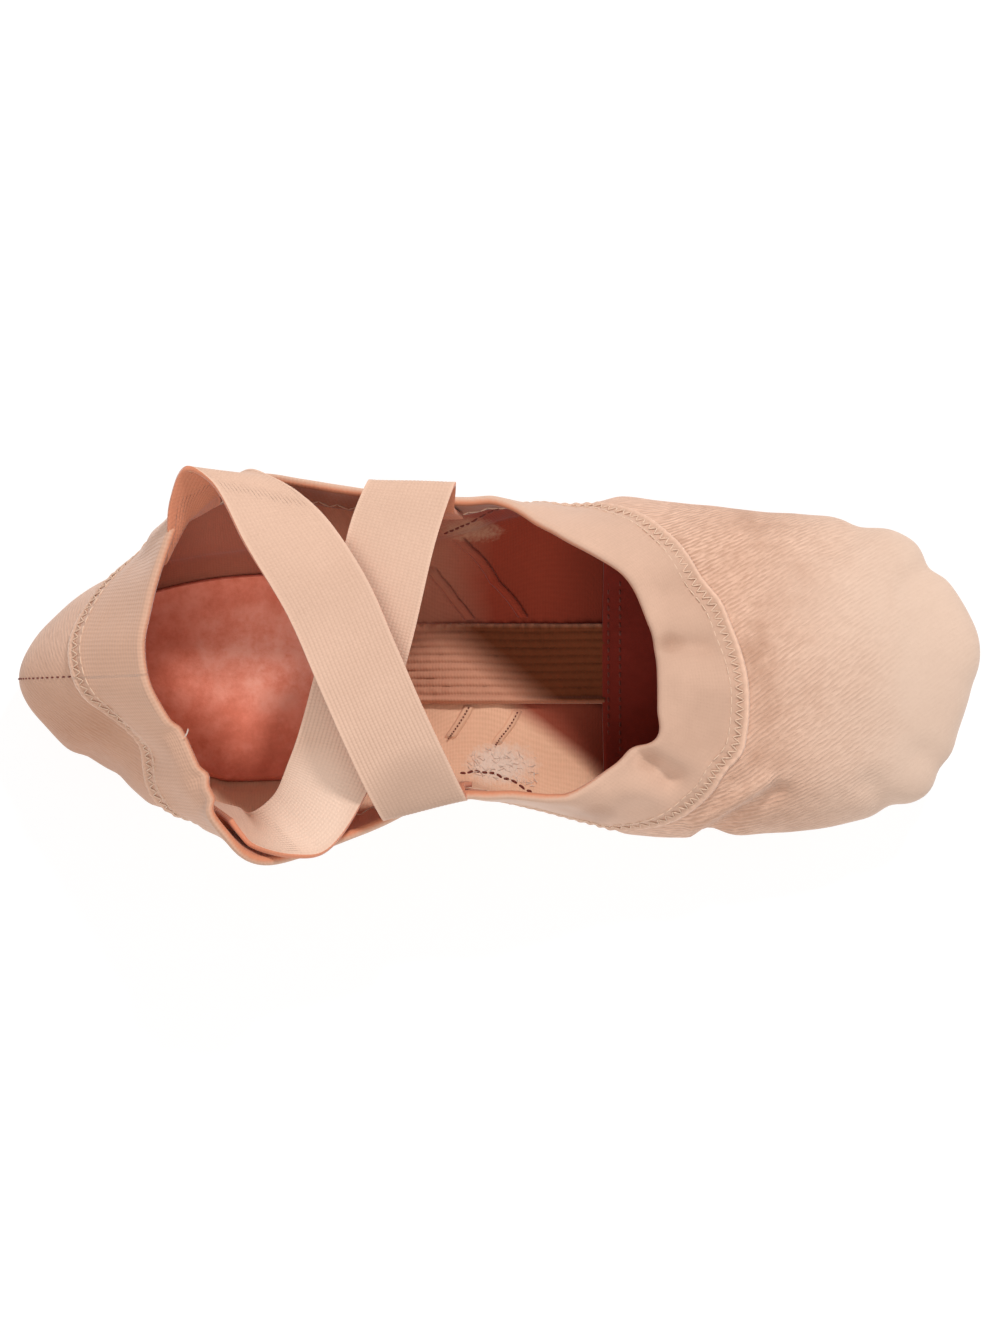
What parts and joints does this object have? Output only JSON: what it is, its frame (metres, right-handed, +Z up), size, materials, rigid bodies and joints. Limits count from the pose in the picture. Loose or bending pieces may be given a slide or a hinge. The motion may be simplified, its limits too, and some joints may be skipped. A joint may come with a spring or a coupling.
{
  "type": "split sole ballet slipper",
  "caption": "Soft stretch canvas ballet slipper with a bound mouth, crossed elastic straps, a separate suede patch under heel and ball, and a ribbed band under the arch.",
  "frame": {"origin": "on the floor, below the middle of the slipper's box", "axes": "+X from heel to toe, +Y to the wearer's left, +Z up"},
  "size_m": [0.23, 0.0923, 0.0647],
  "materials": {
    "canvas": "matte twill",
    "binding": "matte knit",
    "elastic": "ribbed, slight sheen",
    "arch_band": "ribbed knit",
    "sock": "suede",
    "suede": "suede"
  },
  "bodies": {
    "root": {"upper": "canvas", "collar_binding": "binding", "elastic_over": "elastic", "elastic_under": "elastic", "arch_band": "arch_band", "insole_heel": "sock", "insole_front": "sock", "outsole_heel": "suede", "outsole_front": "suede"}
  },
  "joints": []
}
